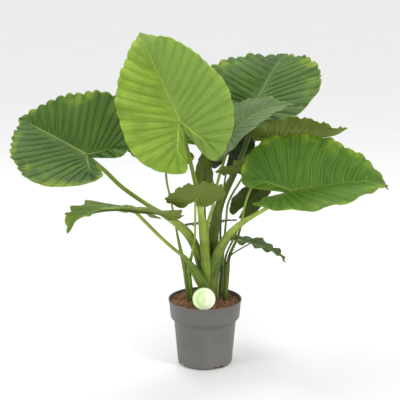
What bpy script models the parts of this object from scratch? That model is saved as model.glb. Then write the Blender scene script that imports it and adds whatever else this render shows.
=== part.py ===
"""A potted alocasia: nursery pot, soil, plant label, three stems and fifteen leaves, each on its own stalk.

Metres, +Z up. The origin is the middle of the pot's flat underside, and -Y is the front.
"""

import math
from typing import NamedTuple

import bmesh
import bpy
from mathutils import Matrix, Vector

# --- driving dimensions ---------------------------------------------------------------------------

GAP = 0.0003  # between pieces that touch
ROUND_STEPS = 48  # flats round the pot and the soil

POT_HEIGHT = 0.173
RIM_RADIUS = 0.095
LIP_HEIGHT = 0.004
LIP_DEPTH = 0.0015  # how far the lip stands out of the collar
COLLAR_HEIGHT = 0.048
COLLAR_TAPER = 0.004
COLLAR_STEP = 0.0085  # how far the body steps in under the collar
STEP_FALL = 0.003
FOOT_RADIUS = 0.071
FOOT_ROUNDING = 0.008
FOOT_ARC_STEPS = 4
WALL = 0.0018
FLOOR = 0.002

NOTCH_COUNT = 4
NOTCH_WIDTH = 0.030
NOTCH_HEIGHT = 0.008
NOTCH_DEPTH = 0.016  # from the foot's outer edge towards the middle
NOTCH_TURN = 29.0  # degrees from the front to the first notch

SOIL_BELOW_RIM = 0.010
SOIL_MOUND = 0.006  # how much higher the soil is in the middle than at the wall
SOIL_ROOTING = 0.030  # how deep a stem reaches into the soil

LABEL_RADIUS = 0.029
LABEL_SIDES = 30
LABEL_THICKNESS = 0.0008
LABEL_STICK = 0.028
LABEL_POINT = 0.006
LABEL_POINT_WIDTH = 0.3  # beside the stick's own width
LABEL_FOOT = (-0.003, -0.078)
LABEL_LEAN = 8.0  # degrees back from upright
LABEL_LIFT = 0.002  # the disc's lower edge above the soil

BLADE_THICKNESS = 0.0012
STALK_SIDES_LEVEL = 2  # a curve's bevel resolution
STALK_STEPS = 16
STALK_TAPER = 1.6  # above 1, a stalk is widest only near its foot
STEM_STEPS = 10
STEM_STRAIGHT = 0.008  # a stem's and a stalk's ends run straight up over this length
ROUTE_SAMPLES = 20  # points taken between two given ones, before they are spaced evenly

PLASTIC = ("pot_plastic", (0.19, 0.18, 0.165, 1), 0.55)
EARTH = ("coir_soil", (0.17, 0.075, 0.04, 1), 0.95)
LABEL_FACE = ("label_plastic", (0.62, 0.85, 0.42, 1), 0.4)
BLADE = ("leaf_blade", (0.10, 0.21, 0.035, 1), 0.42)
STALK = ("leaf_stalk", (0.17, 0.27, 0.04, 1), 0.40)


class Stem(NamedTuple):
    """A short stem: it stands in the soil at foot, and its flat top, at top, carries stalks."""

    foot: tuple  # x and y
    top: tuple  # x, y and z
    foot_radius: float
    top_radius: float


class Leaf(NamedTuple):
    """One leaf. Angles are in degrees, and shares are of the blade's own length."""

    at: tuple  # where the stalk meets the blade
    heading: float  # the way the midrib points, anticlockwise from +X
    pitch: float  # how steeply the midrib rises
    roll: float  # how far the blade leans about its midrib
    length: float  # from the stalk to the tip
    width: float  # beside the usual width
    lobes: float  # beside the usual length of the two lobes behind the stalk
    droop: float  # how far the midrib bends down towards its tip
    fold: float  # how steeply each half rises from the midrib
    curl: float  # how much of that is lost again towards the margin
    lobe_droop: float
    stem: str
    seat: tuple  # the stalk's foot on the stem's top, from the top's middle
    via: tuple  # the points that the stalk passes
    foot_radius: float
    neck_radius: float  # the stalk's radius at the blade


STEMS = {
    "main_stem": Stem((0.006, 0.0), (0.006, 0.0, 0.250), 0.0260, 0.0280),
    "left_stem": Stem((-0.038, -0.012), (-0.047, -0.012, 0.252), 0.0085, 0.0100),
    "right_stem": Stem((0.051, -0.005), (0.057, -0.005, 0.272), 0.0060, 0.0090),
    "rear_stem": Stem((0.040, 0.036), (0.044, 0.036, 0.256), 0.0060, 0.0090),
}

LEAVES = {
    "front_leaf": Leaf(
        at=(-0.062, -0.060, 0.645), heading=127, pitch=50, roll=40,
        length=0.285, width=0.945, lobes=0.955, droop=6, fold=18, curl=10, lobe_droop=7,
        stem="main_stem", seat=(0.000, -0.018),
        via=((-0.004, -0.020, 0.345), (-0.014, -0.028, 0.430), (-0.035, -0.040, 0.535)),
        foot_radius=0.0086, neck_radius=0.0048,
    ),
    "left_leaf": Leaf(
        at=(-0.294, -0.030, 0.557), heading=134, pitch=12, roll=38,
        length=0.295, width=1.04, lobes=0.855, droop=2, fold=25, curl=8, lobe_droop=-7,
        stem="main_stem", seat=(-0.0155, 0.009),
        via=((-0.026, 0.008, 0.315), (-0.073, 0.006, 0.373), (-0.153, 0.0, 0.427), (-0.21, -0.008, 0.471), (-0.251, -0.016, 0.514)),
        foot_radius=0.0086, neck_radius=0.0046,
    ),
    "back_leaf": Leaf(
        at=(0.138, 0.205, 0.654), heading=71, pitch=27, roll=0,
        length=0.295, width=1.115, lobes=1.01, droop=17, fold=17, curl=7, lobe_droop=0,
        stem="main_stem", seat=(0.0155, 0.009),
        via=((0.022, 0.022, 0.348), (0.041, 0.045, 0.421), (0.080, 0.085, 0.494), (0.116, 0.150, 0.572)),
        foot_radius=0.0086, neck_radius=0.0055,
    ),
    "right_leaf": Leaf(
        at=(0.215, -0.060, 0.473), heading=17, pitch=7, roll=-28,
        length=0.288, width=0.995, lobes=0.855, droop=14, fold=30, curl=13, lobe_droop=0,
        stem="main_stem", seat=(0.0155, -0.009),
        via=((0.043, -0.020, 0.335), (0.088, -0.035, 0.381), (0.155, -0.050, 0.427)),
        foot_radius=0.0086, neck_radius=0.0046,
    ),
    "young_leaf": Leaf(
        at=(0.067, 0.012, 0.605), heading=0, pitch=50, roll=-16,
        length=0.183, width=1.00, lobes=0.90, droop=55, fold=10, curl=5, lobe_droop=10,
        stem="main_stem", seat=(0.0, 0.0),
        via=((0.005, 0.002, 0.362), (0.019, 0.006, 0.415), (0.031, 0.012, 0.476), (0.051, 0.012, 0.545)),
        foot_radius=0.0086, neck_radius=0.0034,
    ),
    "low_left_leaf": Leaf(
        at=(-0.171, -0.040, 0.415), heading=215, pitch=20, roll=-10,
        length=0.225, width=1.00, lobes=1.00, droop=42, fold=13, curl=16, lobe_droop=8,
        stem="main_stem", seat=(-0.0155, -0.009),
        via=((-0.032, -0.030, 0.278), (-0.054, -0.036, 0.294), (-0.078, -0.038, 0.315), (-0.114, -0.040, 0.350)),
        foot_radius=0.0086, neck_radius=0.0036,
    ),
    "narrow_leaf": Leaf(
        at=(-0.003, 0.060, 0.455), heading=-90, pitch=80, roll=0,
        length=0.110, width=0.55, lobes=0.80, droop=10, fold=45, curl=10, lobe_droop=5,
        stem="main_stem", seat=(0.000, 0.018),
        via=((0.002, 0.032, 0.335),),
        foot_radius=0.0080, neck_radius=0.0020,
    ),
    "centre_leaf": Leaf(
        at=(-0.025, -0.110, 0.463), heading=-78, pitch=32, roll=2,
        length=0.140, width=1.00, lobes=0.98, droop=0, fold=12, curl=13, lobe_droop=5,
        stem="left_stem", seat=(0.0048, 0.0),
        via=((-0.033, -0.022, 0.300), (-0.026, -0.040, 0.347), (-0.025, -0.070, 0.400)),
        foot_radius=0.0044, neck_radius=0.0022,
    ),
    "shaded_leaf": Leaf(
        at=(-0.092, 0.1, 0.563), heading=165, pitch=12, roll=42,
        length=0.160, width=1.00, lobes=1.00, droop=20, fold=12, curl=15, lobe_droop=10,
        stem="left_stem", seat=(-0.0048, 0.0),
        via=((-0.067, 0.012, 0.323), (-0.077, 0.028, 0.369), (-0.086, 0.045, 0.414), (-0.101, 0.080, 0.483)),
        foot_radius=0.0044, neck_radius=0.0022,
    ),
    "folded_leaf": Leaf(
        at=(0.195, 0.072, 0.571), heading=-4, pitch=6, roll=25,
        length=0.175, width=0.97, lobes=0.88, droop=-5, fold=35, curl=12, lobe_droop=4,
        stem="right_stem", seat=(0.0042, 0.0024),
        via=((0.086, -0.002, 0.346), (0.104, -0.003, 0.433), (0.126, 0.014, 0.482), (0.160, 0.056, 0.526)),
        foot_radius=0.0037, neck_radius=0.0024,
    ),
    "small_leaf": Leaf(
        at=(0.110, 0.047, 0.415), heading=30, pitch=42, roll=-8,
        length=0.100, width=1.00, lobes=1.00, droop=20, fold=12, curl=14, lobe_droop=8,
        stem="right_stem", seat=(-0.0042, 0.0024),
        via=((0.076, 0.012, 0.335), (0.095, 0.030, 0.378)),
        foot_radius=0.0037, neck_radius=0.0018,
    ),
    "low_right_leaf": Leaf(
        at=(0.115, -0.010, 0.325), heading=-16, pitch=-9, roll=7,
        length=0.108, width=1.00, lobes=1.00, droop=25, fold=12, curl=15, lobe_droop=8,
        stem="right_stem", seat=(0.0, -0.0048),
        via=((0.080, -0.010, 0.302),),
        foot_radius=0.0037, neck_radius=0.0014,
    ),
    "inner_leaf": Leaf(
        at=(0.116, 0.044, 0.515), heading=229, pitch=7, roll=-38,
        length=0.150, width=0.64, lobes=0.35, droop=8, fold=10, curl=11, lobe_droop=8,
        stem="rear_stem", seat=(0.0042, -0.0024),
        via=((0.051, 0.044, 0.330), (0.055, 0.052, 0.370), (0.061, 0.070, 0.412), (0.088, 0.064, 0.464)),
        foot_radius=0.0037, neck_radius=0.0020,
    ),
    "rear_leaf": Leaf(
        at=(0.067, 0.175, 0.526), heading=60, pitch=45, roll=0,
        length=0.132, width=1.00, lobes=1.00, droop=15, fold=12, curl=12, lobe_droop=8,
        stem="rear_stem", seat=(-0.0042, -0.0024),
        via=((0.040, 0.048, 0.335), (0.045, 0.085, 0.415), (0.057, 0.135, 0.480)),
        foot_radius=0.0037, neck_radius=0.0020,
    ),
    "flat_back_leaf": Leaf(
        at=(0.014, 0.120, 0.344), heading=95, pitch=-14, roll=3,
        length=0.135, width=1.00, lobes=1.00, droop=8, fold=4, curl=8, lobe_droop=4,
        stem="rear_stem", seat=(0.0, 0.0048),
        via=((0.040, 0.060, 0.285), (0.026, 0.090, 0.310)),
        foot_radius=0.0037, neck_radius=0.0018,
    ),
}

# A blade's half outline as shares of its length: along the midrib, then out from it.
HALF_WIDTH = 0.53
SHOULDER = (0.12, HALF_WIDTH)
LOBE_END = (-0.47, 0.19)
TIP_TO_SHOULDER = ((1.0, 0.0), (0.93, 0.05), (0.85, 0.13), (0.70, 0.28), (0.45, 0.44), SHOULDER)
SHOULDER_TO_LOBE_END = (SHOULDER, (-0.10, 0.52), (-0.28, 0.44), (-0.41, 0.32), LOBE_END)
LOBE_END_TO_SINUS = (LOBE_END, (-0.44, 0.12), (-0.30, 0.06), (-0.08, 0.0))
LOBE_RIB_END = (-0.31, 0.17)
FRONT_ROWS = 9  # grid rows from the tip to the stalk
LOBE_ROWS = 3  # grid rows out along a lobe's rib, and again on the way back
BLADE_COLUMNS = 3  # grid columns from rib to margin
LEAST_BEND = 1e-4  # radians, so that a flat blade needs no case of its own
WELD = 1e-5


# --- helpers --------------------------------------------------------------------------------------


def clear_scene():
    for thing in list(bpy.data.objects):
        bpy.data.objects.remove(thing, do_unlink=True)


def material(name, colour, roughness):
    """A Principled material, made once for each name."""
    if name in bpy.data.materials:
        return bpy.data.materials[name]
    made = bpy.data.materials.new(name)
    made.use_nodes = True
    shader = made.node_tree.nodes["Principled BSDF"]
    shader.inputs["Base Color"].default_value = colour
    shader.inputs["Roughness"].default_value = roughness
    shader.inputs["Metallic"].default_value = 0.0
    made.diffuse_color = colour
    return made


def add_object(name, data, finish):
    thing = bpy.data.objects.new(name, data)
    bpy.context.scene.collection.objects.link(thing)
    data.materials.append(material(*finish))
    return thing


def mesh_object(name, form, finish, sharp=40):
    """An object from a bmesh, smooth except at edges over sharp degrees."""
    mesh = bpy.data.meshes.new(name)
    form.to_mesh(mesh)
    form.free()
    mesh.shade_smooth()
    mesh.set_sharp_from_angle(angle=math.radians(sharp))
    return add_object(name, mesh, finish)


def turned(profile, centre=(0.0, 0.0)):
    """A closed solid: the profile's (radius, height) points, from axis to axis, spun about a vertical axis."""
    form = bmesh.new()
    verts = [form.verts.new((radius, 0.0, height)) for radius, height in profile]
    for one, two in zip(verts, verts[1:]):
        form.edges.new((one, two))
    bmesh.ops.spin(
        form, geom=form.verts[:] + form.edges[:], cent=(0, 0, 0), axis=(0, 0, 1),
        angle=math.tau, steps=ROUND_STEPS, use_merge=True,
    )
    bmesh.ops.remove_doubles(form, verts=form.verts, dist=WELD)
    bmesh.ops.recalc_face_normals(form, faces=form.faces)
    bmesh.ops.translate(form, verts=form.verts, vec=(*centre, 0.0))
    return form


def box(size, matrix):
    form = bmesh.new()
    bmesh.ops.create_cube(form, size=1.0)
    bmesh.ops.scale(form, verts=form.verts, vec=size)
    bmesh.ops.transform(form, verts=form.verts, matrix=matrix)
    return form


def cut(target, form, name):
    """Takes the form away from the target with a Boolean, and hides the cutter."""
    mesh = bpy.data.meshes.new(name)
    form.to_mesh(mesh)
    form.free()
    cutter = bpy.data.objects.new(name, mesh)
    bpy.context.scene.collection.objects.link(cutter)
    cutter.hide_render = True
    cutter.display_type = "WIRE"
    modifier = target.modifiers.new(name, "BOOLEAN")
    modifier.operation = "DIFFERENCE"
    modifier.solver = "EXACT"
    modifier.object = cutter


def smooth_route(points, steps):
    """Points evenly placed along a Catmull-Rom curve that passes through the given ones."""
    places = [Vector(point) for point in points]
    places = [2 * places[0] - places[1], *places, 2 * places[-1] - places[-2]]
    dense = []
    for before, start, end, after in zip(places, places[1:], places[2:], places[3:]):
        for step in range(ROUTE_SAMPLES):
            t = step / ROUTE_SAMPLES
            dense.append(
                0.5 * (2 * start + (end - before) * t + (2 * before - 5 * start + 4 * end - after) * t**2
                       + (3 * start - before - 3 * end + after) * t**3)
            )
    dense.append(places[-2])
    return spaced(dense, steps)


def spaced(line, steps):
    """The line's own ends, with steps - 1 points at equal distances between them."""
    lengths = [0.0]
    for one, two in zip(line, line[1:]):
        lengths.append(lengths[-1] + (two - one).length)
    found, index = [], 0
    for step in range(steps + 1):
        wanted = lengths[-1] * step / steps
        while index < len(line) - 2 and lengths[index + 1] < wanted:
            index += 1
        span = lengths[index + 1] - lengths[index]
        found.append(line[index].lerp(line[index + 1], (wanted - lengths[index]) / span if span else 0.0))
    return found


def tube(name, points, radii, finish):
    """A round tube along points, with a radius at each of them and filled ends."""
    curve = bpy.data.curves.new(name, "CURVE")
    curve.dimensions = "3D"
    curve.bevel_depth = radii[0]
    curve.bevel_resolution = STALK_SIDES_LEVEL
    curve.use_fill_caps = True
    spline = curve.splines.new("POLY")
    spline.points.add(len(points) - 1)
    for held, point, radius in zip(spline.points, points, radii):
        held.co = (*point, 1.0)
        held.radius = radius / radii[0]
    return add_object(name, curve, finish)


# --- pot and soil ---------------------------------------------------------------------------------


def collar_foot():
    """The radius and height of the collar's lower edge, outside."""
    return RIM_RADIUS - LIP_DEPTH - COLLAR_TAPER, POT_HEIGHT - COLLAR_HEIGHT


def foot_arc():
    """The rounded edge of the foot, from the flat underside up to the body."""
    middle_radius, middle_height = FOOT_RADIUS - FOOT_ROUNDING, FOOT_ROUNDING
    return [
        (
            middle_radius + FOOT_ROUNDING * math.sin(math.radians(90 * step / FOOT_ARC_STEPS)),
            middle_height - FOOT_ROUNDING * math.cos(math.radians(90 * step / FOOT_ARC_STEPS)),
        )
        for step in range(FOOT_ARC_STEPS + 1)
    ]


def inner_wall(clearance):
    """The pot's inside, from its floor's edge to its rim, drawn in by a clearance."""
    edge_radius, edge_height = collar_foot()
    inset = WALL + clearance
    body_radius = edge_radius - COLLAR_STEP
    return [
        (FOOT_RADIUS - FOOT_ROUNDING - clearance, FLOOR + clearance),
        (FOOT_RADIUS - inset, FOOT_ROUNDING + clearance),
        (body_radius - inset, edge_height - STEP_FALL + clearance),
        (edge_radius - inset, edge_height + WALL + clearance),
        (RIM_RADIUS - LIP_DEPTH - inset, POT_HEIGHT),
    ]


def make_pot():
    edge_radius, edge_height = collar_foot()
    outside = [
        *foot_arc(),
        (edge_radius - COLLAR_STEP, edge_height - STEP_FALL),
        (edge_radius - WALL, edge_height),
        (edge_radius, edge_height),
        (RIM_RADIUS - LIP_DEPTH, POT_HEIGHT - LIP_HEIGHT),
        (RIM_RADIUS, POT_HEIGHT - LIP_HEIGHT),
        (RIM_RADIUS, POT_HEIGHT),
    ]
    profile = [(0.0, 0.0), *outside, *reversed(inner_wall(0.0)), (0.0, FLOOR)]
    pot = mesh_object("pot", turned(profile), PLASTIC, sharp=35)
    for number in range(NOTCH_COUNT):
        turn = Matrix.Rotation(math.radians(NOTCH_TURN - 90 + 360 * number / NOTCH_COUNT), 4, "Z")
        size = (2 * NOTCH_DEPTH, NOTCH_WIDTH, 2 * NOTCH_HEIGHT)
        cut(pot, box(size, turn @ Matrix.Translation((FOOT_RADIUS, 0, 0))), f"notch_cutter_{number + 1}")
    return pot


def wall_radius(height):
    """The inside radius of the pot's collar at a height."""
    low, high = inner_wall(0.0)[-2:]
    share = (height - low[1]) / (high[1] - low[1])
    return low[0] + share * (high[0] - low[0])


def soil_height(radius):
    """The soil's surface: lowest at the wall, highest in the middle."""
    edge = POT_HEIGHT - SOIL_BELOW_RIM
    return edge + SOIL_MOUND * (1 - (radius / wall_radius(edge)) ** 2)


def soil_at(x, y):
    return soil_height(math.hypot(x, y))


def make_soil():
    """The soil, with a hole for each stem and a slot for the label's stick."""
    edge_radius = wall_radius(POT_HEIGHT - SOIL_BELOW_RIM) - GAP
    below = inner_wall(GAP)[:-1]
    surface = [(edge_radius * share, soil_height(edge_radius * share)) for share in (1.0, 0.8, 0.6, 0.4, 0.2, 0.0)]
    soil = mesh_object("soil", turned([(0.0, FLOOR + GAP), *below, *surface]), EARTH)
    for name, stem in STEMS.items():
        radius = (stem.foot_radius + GAP) / math.cos(math.pi / ROUND_STEPS)
        low = soil_at(*stem.foot) - SOIL_ROOTING - GAP
        hole = turned([(0.0, low), (radius, low), (radius, POT_HEIGHT), (0.0, POT_HEIGHT)], stem.foot)
        cut(soil, hole, f"{name}_hole_cutter")
    slot = (stick_width() + 2 * GAP, LABEL_THICKNESS + 2 * GAP, 2 * (LABEL_STICK + GAP))
    cut(soil, box(slot, label_place()), "label_slot_cutter")
    return soil


# --- label ----------------------------------------------------------------------------------------


def stick_width():
    """The stick is as wide as one side of the disc's outline."""
    return 2 * LABEL_RADIUS * math.sin(math.pi / LABEL_SIDES)


def label_place():
    """The frame of the disc's lowest point: Z runs up the label, and Y through it."""
    x, y = LABEL_FOOT
    foot = Matrix.Translation((x, y, soil_at(x, y) + LABEL_LIFT))
    return foot @ Matrix.Rotation(math.radians(-LABEL_LEAN), 4, "X")


def make_label():
    """A round disc with a pointed stick below it, in one piece."""
    form = bmesh.new()
    bmesh.ops.create_circle(form, cap_ends=True, segments=LABEL_SIDES, radius=LABEL_RADIUS)
    bmesh.ops.rotate(
        form, verts=form.verts, cent=(0, 0, 0),
        matrix=Matrix.Rotation(math.pi / LABEL_SIDES, 3, "Z"),
    )
    lowest = min(form.edges, key=lambda edge: sum(vert.co.y for vert in edge.verts))
    stick = bmesh.ops.extrude_edge_only(form, edges=[lowest])
    ends = [part for part in stick["geom"] if isinstance(part, bmesh.types.BMVert)]
    bmesh.ops.translate(form, verts=ends, vec=(0, -LABEL_STICK + LABEL_POINT, 0))
    tip_edge = next(part for part in stick["geom"] if isinstance(part, bmesh.types.BMEdge)
                    and all(vert in ends for vert in part.verts))
    tip = bmesh.ops.extrude_edge_only(form, edges=[tip_edge])
    point = [part for part in tip["geom"] if isinstance(part, bmesh.types.BMVert)]
    bmesh.ops.translate(form, verts=point, vec=(0, -LABEL_POINT, 0))
    bmesh.ops.scale(form, verts=point, vec=(LABEL_POINT_WIDTH, 1, 1))
    bmesh.ops.recalc_face_normals(form, faces=form.faces)
    thick = bmesh.ops.extrude_face_region(form, geom=form.faces[:])
    raised = [part for part in thick["geom"] if isinstance(part, bmesh.types.BMVert)]
    bmesh.ops.translate(form, verts=raised, vec=(0, 0, LABEL_THICKNESS))
    bmesh.ops.recalc_face_normals(form, faces=form.faces)
    rise = LABEL_RADIUS * math.cos(math.pi / LABEL_SIDES)
    bmesh.ops.translate(form, verts=form.verts, vec=(0, rise, -LABEL_THICKNESS / 2))
    upright = label_place() @ Matrix.Rotation(math.pi / 2, 4, "X")
    bmesh.ops.transform(form, verts=form.verts, matrix=upright)
    return mesh_object("label", form, LABEL_FACE, sharp=30)


# --- stems and stalks -----------------------------------------------------------------------------


def make_stem(name, stem):
    """A stem rises straight out of the soil, leans over and ends straight, under a level top."""
    x, y = stem.foot
    surface = soil_at(x, y)
    top = Vector(stem.top)
    low = Vector((x, y, surface - SOIL_ROOTING))
    rise = Vector((x, y, surface + STEM_STRAIGHT))
    bend = top - Vector((0, 0, STEM_STRAIGHT))
    points = [low, *smooth_route([rise, bend], STEM_STEPS), top]
    radii = []
    for point in points:
        share = max(0.0, min(1.0, (point.z - rise.z) / (bend.z - rise.z)))
        radii.append(stem.foot_radius + (stem.top_radius - stem.foot_radius) * share)
    return tube(name, points, radii, STALK)


def blade_axes(leaf):
    """The directions along the midrib, to its left, and out of the blade's upper side."""
    heading, pitch, roll = (math.radians(angle) for angle in (leaf.heading, leaf.pitch, leaf.roll))
    along = Vector((math.cos(pitch) * math.cos(heading), math.cos(pitch) * math.sin(heading), math.sin(pitch)))
    level = Vector((-math.sin(pitch) * math.cos(heading), -math.sin(pitch) * math.sin(heading), math.cos(pitch)))
    upper = level * math.cos(roll) + level.cross(along) * math.sin(roll)
    return along, upper.cross(along), upper


def make_stalk(name, leaf):
    """A stalk tapers from its seat on a stem to just under the blade."""
    stem_top = Vector(STEMS[leaf.stem].top)
    seat = stem_top + Vector((*leaf.seat, GAP))
    start = seat + Vector((0, 0, STEM_STRAIGHT))
    upper = blade_axes(leaf)[2]
    onward = (Vector(leaf.at) - Vector(leaf.via[-1])).normalized()
    lean = math.sqrt(max(0.0, 1 - onward.dot(upper) ** 2))
    half = BLADE_THICKNESS / 2 / math.cos(math.radians(leaf.fold))
    end = Vector(leaf.at) - upper * (half + GAP + leaf.neck_radius * lean)
    points = [seat, *smooth_route([start, *leaf.via, end], STALK_STEPS)]
    radii = []
    for number in range(len(points)):
        left = 1 - number / (len(points) - 1)
        radii.append(leaf.neck_radius + (leaf.foot_radius - leaf.neck_radius) * left**STALK_TAPER)
    return tube(name, points, radii, STALK)


# --- blades ---------------------------------------------------------------------------------------


def along_line(points, share):
    """The point at a share of the length of a line of 2-D points."""
    places = [Vector(point) for point in points]
    lengths = [(two - one).length for one, two in zip(places, places[1:])]
    wanted = share * sum(lengths)
    for one, two, length in zip(places, places[1:], lengths):
        if wanted <= length:
            return one.lerp(two, wanted / length)
        wanted -= length
    return places[-1]


def rib_and_margin(row):
    """For one grid row, the ends of its vein on the rib and on the margin, as shares of the blade's length."""
    if row <= FRONT_ROWS:
        share = row / FRONT_ROWS
        return Vector((1 - share, 0.0)), along_line(TIP_TO_SHOULDER, share)
    share = (row - FRONT_ROWS) / LOBE_ROWS
    if share <= 1:
        return Vector(LOBE_RIB_END) * share, along_line(SHOULDER_TO_LOBE_END, share)
    return Vector(LOBE_RIB_END) * (2 - share), along_line(LOBE_END_TO_SINUS, share - 1)


def bent(leaf, along, out, side):
    """A point of the flat blade, in metres along the midrib and out from it, on the bent blade."""
    turn = leaf.droop if along > 0 else leaf.lobe_droop
    bend = max(abs(math.radians(turn)), LEAST_BEND) * (1 if turn >= 0 else -1) / leaf.length
    half_width = HALF_WIDTH * leaf.length * leaf.width
    curl = max(math.radians(leaf.curl), LEAST_BEND) / half_width
    fold = math.radians(leaf.fold)
    aside = (math.sin(fold) - math.sin(fold - curl * out)) / curl
    rise = (math.cos(fold - curl * out) - math.cos(fold)) / curl
    tilt = bend * along
    return Vector((
        math.sin(tilt) / bend + rise * math.sin(tilt),
        side * aside,
        (math.cos(tilt) - 1) / bend + rise * math.cos(tilt),
    ))


def make_blade(name, leaf):
    """Two grids of ribs and veins, welded along the midrib and given the blade's thickness."""
    axes = Matrix(blade_axes(leaf)).transposed()
    rows = FRONT_ROWS + 2 * LOBE_ROWS
    form = bmesh.new()
    for side in (1, -1):
        grid = bmesh.ops.create_grid(form, x_segments=BLADE_COLUMNS, y_segments=rows, size=1.0)
        for vert in grid["verts"]:
            share = (vert.co.x + 1) / 2
            rib, margin = rib_and_margin(round((vert.co.y + 1) / 2 * rows))
            flat = rib.lerp(margin, share)
            along = flat.x * leaf.length * (leaf.lobes if flat.x < 0 else 1.0)
            out = flat.y * leaf.length * leaf.width
            vert.co = Vector(leaf.at) + axes @ bent(leaf, along, out, side)
    bmesh.ops.remove_doubles(form, verts=form.verts, dist=WELD)
    bmesh.ops.recalc_face_normals(form, faces=form.faces)
    blade = mesh_object(name, form, BLADE)
    thicken = blade.modifiers.new("thickness", "SOLIDIFY")
    thicken.thickness = BLADE_THICKNESS
    thicken.offset = 0.0
    return blade


def main():
    clear_scene()
    make_pot()
    make_soil()
    make_label()
    for name, stem in STEMS.items():
        make_stem(name, stem)
    for name, leaf in LEAVES.items():
        make_stalk(f"{name}_stalk", leaf)
        make_blade(f"{name}_blade", leaf)


main()
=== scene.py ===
# %% [markdown]
# # A potted alocasia
# The plant is a house plant with heart-shaped leaves on long arching stalks, in a nursery pot.
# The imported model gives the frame: where each stem, stalk and blade is, and how large the pot is.
# This lesson builds the finished looks around that frame, one piece of the plant at a time.

# %% Load the frame
import math
import random
from typing import NamedTuple

import bmesh
import bpy
from mathutils import Matrix, Vector, noise


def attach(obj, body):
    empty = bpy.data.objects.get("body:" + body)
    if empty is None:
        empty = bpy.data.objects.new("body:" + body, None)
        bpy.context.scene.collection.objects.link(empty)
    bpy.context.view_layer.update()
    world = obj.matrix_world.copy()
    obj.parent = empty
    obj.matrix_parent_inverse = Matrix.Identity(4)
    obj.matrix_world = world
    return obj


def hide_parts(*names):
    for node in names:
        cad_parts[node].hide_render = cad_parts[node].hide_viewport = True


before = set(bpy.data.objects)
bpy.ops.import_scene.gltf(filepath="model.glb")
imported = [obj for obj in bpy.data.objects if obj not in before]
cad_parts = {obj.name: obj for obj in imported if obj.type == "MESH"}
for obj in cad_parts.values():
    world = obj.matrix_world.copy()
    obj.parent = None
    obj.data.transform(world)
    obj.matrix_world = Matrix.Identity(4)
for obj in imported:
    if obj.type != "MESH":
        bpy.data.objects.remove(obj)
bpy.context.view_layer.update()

print("nodes in the frame:", len(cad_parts))

# %% [markdown]
# ## Camera
# A long lens from three metres away keeps the proportions calm, and it looks down a little,
# so that both the upper sides of the leaves and the soil inside the rim show.

# %% Place the camera
CAMERA_PLACE = (-0.013, -3.0, 1.19)
CAMERA_PITCH = 14.13  # degrees down
CAMERA_LENS, SENSOR_WIDTH = 109.7, 36.0  # millimetres
camera_data = bpy.data.cameras.new("camera")
camera_data.lens = CAMERA_LENS
camera_data.sensor_width = SENSOR_WIDTH
camera = bpy.data.objects.new("camera", camera_data)
camera.location = CAMERA_PLACE
camera.rotation_euler = (math.radians(90 - CAMERA_PITCH), 0.0, 0.0)
bpy.context.scene.collection.objects.link(camera)
bpy.context.scene.camera = camera
print("camera at", CAMERA_PLACE)

# %% [markdown]
# ## Helpers for smooth lines
# Stalks, ribs and leaf outlines all follow smooth lines through a few chosen points.
# A Catmull-Rom curve passes through its points, which is easier to steer than a Bezier's handles.

# %% Smooth lines
def smooth_line(points, samples=12):
    """A dense line through the points, of any dimension."""
    places = [Vector(point) for point in points]
    places = [2 * places[0] - places[1], *places, 2 * places[-1] - places[-2]]
    dense = []
    for before, start, end, after in zip(places, places[1:], places[2:], places[3:]):
        for step in range(samples):
            t = step / samples
            dense.append(0.5 * (2 * start + (end - before) * t
                                + (2 * before - 5 * start + 4 * end - after) * t**2
                                + (3 * start - before - 3 * end + after) * t**3))
    dense.append(places[-2])
    return dense


class Line:
    """A line that gives the point at a share of its length."""

    def __init__(self, points):
        self.points = points
        self.lengths = [0.0]
        for one, two in zip(points, points[1:]):
            self.lengths.append(self.lengths[-1] + (two - one).length)

    def at(self, share):
        wanted = max(0.0, min(1.0, share)) * self.lengths[-1]
        low, high = 0, len(self.points) - 1
        while high - low > 1:
            middle = (low + high) // 2
            if self.lengths[middle] <= wanted:
                low = middle
            else:
                high = middle
        span = self.lengths[high] - self.lengths[low]
        return self.points[low].lerp(self.points[high], (wanted - self.lengths[low]) / span if span else 0.0)


def smoothstep(low, high, value):
    t = max(0.0, min(1.0, (value - low) / (high - low)))
    return t * t * (3 - 2 * t)


print("smooth lines ready")

# %% [markdown]
# ## The leaves, as a table
# Every blade is the same heart shape. What tells one leaf from another is where its stalk meets it,
# the way its midrib points, how it leans and bends, and how old it is, which sets its colour. The leaves at
# the back take a darker hue, painted shade for where they sit in shadow.
# Keeping that in one table keeps the fifteen leaves comparable.

# %% The table of leaves
class Leaf(NamedTuple):
    """Angles are in degrees, and shares are of the blade's own length."""

    at: tuple  # where the stalk meets the blade
    turn: tuple  # heading, pitch and roll of the midrib
    size: tuple  # length in metres, then width and lobes beside the usual ones
    bend: tuple  # droop, fold, curl and the lobes' droop
    route: tuple  # the stalk's points from the soil up
    radii: tuple  # the radius of the stalk's sheath, and of its neck at the blade
    sheath: tuple  # shares of the route where the sheath starts to narrow, and where it has become a rod
    hue: str  # the name of its finish
    quilt: float = 0.011  # how far the blade bulges between its veins
    wave: float = 0.014  # how far the margin waves up and down
    scallop: float = 0.016  # how far the margin waves in and out
    hook: float = 0.0  # how far the tip hooks down
    bow: float = 0.05  # how strongly the side veins curve
    sweep: float = 0.72  # 1 where the side veins stand off the midrib, less where they lean towards the tip


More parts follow.
